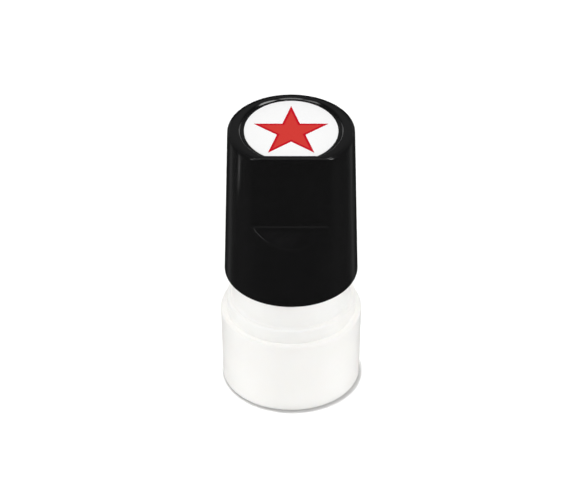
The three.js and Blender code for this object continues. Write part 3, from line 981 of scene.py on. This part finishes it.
def star_print():
    """A thin star with a border of its own, marked by the attribute that its material reads."""
    bottom, top = low("star_print").z, high("star_print").z
    border, fade = 0.4, 0.04
    rim_rings = [(star(), bottom), (star(), top), (star(border), top)]
    rings = rim_rings + [(star(border + fade), top)]
    vertices = [(p.x, p.y, z) for outline, z in rings for p in outline]
    in_rim = STAR_CORNERS * len(rim_rings)
    faces = [list(range(STAR_CORNERS))[::-1], list(range(in_rim, len(vertices)))]
    for first in range(0, in_rim, STAR_CORNERS):
        for i in range(STAR_CORNERS):
            j = (i + 1) % STAR_CORNERS
            above = first + STAR_CORNERS
            faces.append([first + i, first + j, above + j, above + i])
    made = build("star_ink", vertices, faces)
    rim = made.data.attributes.new("rim", "FLOAT", "POINT")
    rim.data.foreach_set("value", [1.0] * in_rim + [0.0] * STAR_CORNERS)
    return made


# ---------------------------------------------------------------------------------------------
# The object

PIECES = {
    "dust_cap": dust_cap,
    "sleeve": sleeve,
    "spring_washer": spring_washer,
    "return_spring": return_spring,
    "die_holder": die_holder,
    "die_ring": die_ring,
    "stamp_die": stamp_die,
    "ink_grid": ink_grid,
    "ink_felt": ink_felt,
    "spring_collar": spring_collar,
    "retaining_clip": retaining_clip,
    "o_ring": o_ring,
    "handle": handle,
    "stem_seal": stem_seal,
    "index_label": index_label,
    "star_print": star_print,
}
made = {node: stand_in(make(), node) for node, make in PIECES.items()}

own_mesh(made["return_spring"])


# ---------------------------------------------------------------------------------------------
# Floor, light and camera

# Places, distances and sizes from here on are in metres, and directions in degrees.

CENTRE = Vector((-0.0002, 0, 0.02658))
CAMERA_DISTANCE = 0.9
CAMERA_ELEVATION = 36.55
CAMERA_LENS = 316.6
FLOOR_REACH = 0.9

# The overhead light: azimuth, elevation and strength
OVERHEAD = (-148, 88.2, 2.35)
OVERHEAD_WIDTH = 2.9  # how wide it looks, which softens its shadow's edge

# Fills for the white mouldings: azimuth, elevation and radiance
FILLS = ((-92, 8, 3.7), (0, 8, 1.4), (92, 8, 3.7), (180, 8, 2), (0, 45, 1.6), (0, 89, 7))
FILL_BOX = (0.8, 0.5, 0.25)  # distance, width and height

# Lights that only gloss shows: name, azimuth, elevation, distance, width, height and radiance
GLOSS_BOXES = (
    ("left", -52, 39, 0.5, 0.24, 0.2, 3.6),
    ("right", 60, 38, 0.5, 0.26, 0.22, 8.5),
    ("strip", 0, 55, 0.5, 0.34, 0.14, 4),
    ("front", 0, 6, 0.5, 0.26, 0.08, 0.22),
    ("front_left", -30, 4, 0.5, 0.14, 0.08, 1.8),
    ("back_left", -144, 5, 0.5, 0.2, 0.08, 0.9),
    ("back_right", 144, 5, 0.5, 0.2, 0.08, 0.9),
    ("streak", -98.5, -14.4, 0.0668, 0.004, 0.006, 0.9),
)


def towards(azimuth, elevation):
    """Unit vector from the object: azimuth 0 is -Y, 90 is +X."""
    a, e = math.radians(azimuth), math.radians(elevation)
    return Vector((math.sin(a) * math.cos(e), -math.cos(a) * math.cos(e), math.sin(e)))


def floor():
    reach = FLOOR_REACH / MM
    corners = [(-reach, -reach, 0), (reach, -reach, 0), (reach, reach, 0), (-reach, reach, 0)]
    made = build("floor", corners, [[0, 1, 2, 3]])
    nodes = Nodes("floor")
    nodes.set(Base_Color=grey(0.97), Roughness=0.9, Specular_IOR_Level=0.1)
    made.data.materials.append(nodes.material)
    made.visible_glossy = False
    return made


def overhead(azimuth, elevation, strength):
    """A distant light, nearly straight above, that makes a thin shadow round the object's foot."""
    data = bpy.data.lights.new("overhead", "SUN")
    data.angle = math.radians(OVERHEAD_WIDTH)
    data.energy = strength
    light = bpy.data.objects.new("overhead", data)
    light.rotation_euler = towards(azimuth, elevation).to_track_quat("Z", "Y").to_euler()
    light.visible_glossy = False
    bpy.context.scene.collection.objects.link(light)
    return light


def softbox(name, azimuth, elevation, distance, width, height, radiance, glossy=True, diffuse=True):
    """A rectangular light turned to the object, which gloss or shading can leave out."""
    data = bpy.data.lights.new(name, "AREA")
    data.shape = "RECTANGLE"
    data.size, data.size_y = width, height
    data.energy = math.pi * width * height * radiance  # the power that gives this radiance
    light = bpy.data.objects.new(name, data)
    out = towards(azimuth, elevation)
    light.location = CENTRE + out * distance
    light.rotation_euler = out.to_track_quat("Z", "Y").to_euler()
    light.visible_glossy = glossy
    light.visible_diffuse = diffuse
    light.visible_camera = False
    bpy.context.scene.collection.objects.link(light)
    return light


def stepped(tree, value, stops):
    """A value from -1 to 1 looked up in a list of (value, level) stops."""
    share = tree.nodes.new("ShaderNodeMapRange")
    share.inputs["From Min"].default_value = -1
    tree.links.new(value, share.inputs["Value"])
    lookup = tree.nodes.new("ShaderNodeValToRGB")
    marks = lookup.color_ramp.elements
    for at, level in stops[1:-1]:
        marks.new((at + 1) / 2)
    for mark, (at, level) in zip(marks, stops):
        mark.position = (at + 1) / 2
        mark.color = grey(level)
    tree.links.new(share.outputs["Result"], lookup.inputs["Fac"])
    return lookup.outputs["Color"]


def background(tree, colour):
    """A background shader of a colour."""
    node = tree.nodes.new("ShaderNodeBackground")
    tree.links.new(colour, node.inputs["Color"])
    return node.outputs[0]


def studio():
    """White surroundings that light the object, and dim ones that its gloss reflects."""
    world = bpy.data.worlds.new("studio")
    world.use_nodes = True
    bpy.context.scene.world = world
    tree = world.node_tree
    tree.nodes.clear()
    place = tree.nodes.new("ShaderNodeTexCoord")
    split = tree.nodes.new("ShaderNodeSeparateXYZ")
    tree.links.new(place.outputs["Generated"], split.inputs[0])
    # A direction's height runs from -1, straight down, to 1, and its depth from -1, in front, to 1.
    height = split.outputs["Z"]
    depth = split.outputs["Y"]

    seen = background(tree, stepped(tree, height, [(0.2, 0.8), (0.5, 0.35)]))
    low_stops = [(0, 0.1), (0.3, 0.06), (0.5, 0.07), (0.58, 0.14), (0.64, 0.1), (0.7, 0.02)]
    low_part = stepped(tree, depth, low_stops)
    sky = stepped(tree, depth, [(0.1, 0.06), (0.6, 0.2)])
    above = stepped(tree, height, [(0.25, 0), (0.5, 1)])
    both = tree.nodes.new("ShaderNodeMix")
    both.data_type = "RGBA"
    tree.links.new(above, both.inputs["Factor"])
    tree.links.new(low_part, both.inputs[MIX_A])
    tree.links.new(sky, both.inputs[MIX_B])
    mirrored = background(tree, both.outputs[MIX_RESULT])

    path = tree.nodes.new("ShaderNodeLightPath")
    mix = tree.nodes.new("ShaderNodeMixShader")
    output = tree.nodes.new("ShaderNodeOutputWorld")
    tree.links.new(path.outputs["Is Glossy Ray"], mix.inputs[0])
    tree.links.new(seen, mix.inputs[1])
    tree.links.new(mirrored, mix.inputs[2])
    tree.links.new(mix.outputs[0], output.inputs["Surface"])


def camera():
    data = bpy.data.cameras.new("camera")
    data.lens = CAMERA_LENS
    data.clip_start, data.clip_end = 0.01, 10
    seen_by = bpy.data.objects.new("camera", data)
    out = towards(0, CAMERA_ELEVATION)
    seen_by.location = CENTRE + out * CAMERA_DISTANCE
    seen_by.rotation_euler = out.to_track_quat("Z", "Y").to_euler()
    bpy.context.scene.collection.objects.link(seen_by)
    bpy.context.scene.camera = seen_by


def lighting(ground):
    """Fills for the white mouldings alone, the overhead light for all else, and lights that gloss shows."""
    mouldings = bpy.data.collections.new("mouldings")
    others = bpy.data.collections.new("others")
    for node, piece in made.items():
        lit_with = mouldings if node in ("dust_cap", "sleeve") else others
        lit_with.objects.link(piece)
    others.objects.link(ground)
    overhead(*OVERHEAD).light_linking.receiver_collection = others
    for azimuth, elevation, radiance in FILLS:
        fill = softbox("fill", azimuth, elevation, *FILL_BOX, radiance, glossy=False)
        fill.data.use_shadow = False
        fill.light_linking.receiver_collection = mouldings
    for box in GLOSS_BOXES:
        softbox(*box, diffuse=False)


ground = floor()
studio()
camera()
lighting(ground)
bpy.context.scene.view_settings.view_transform = "Standard"
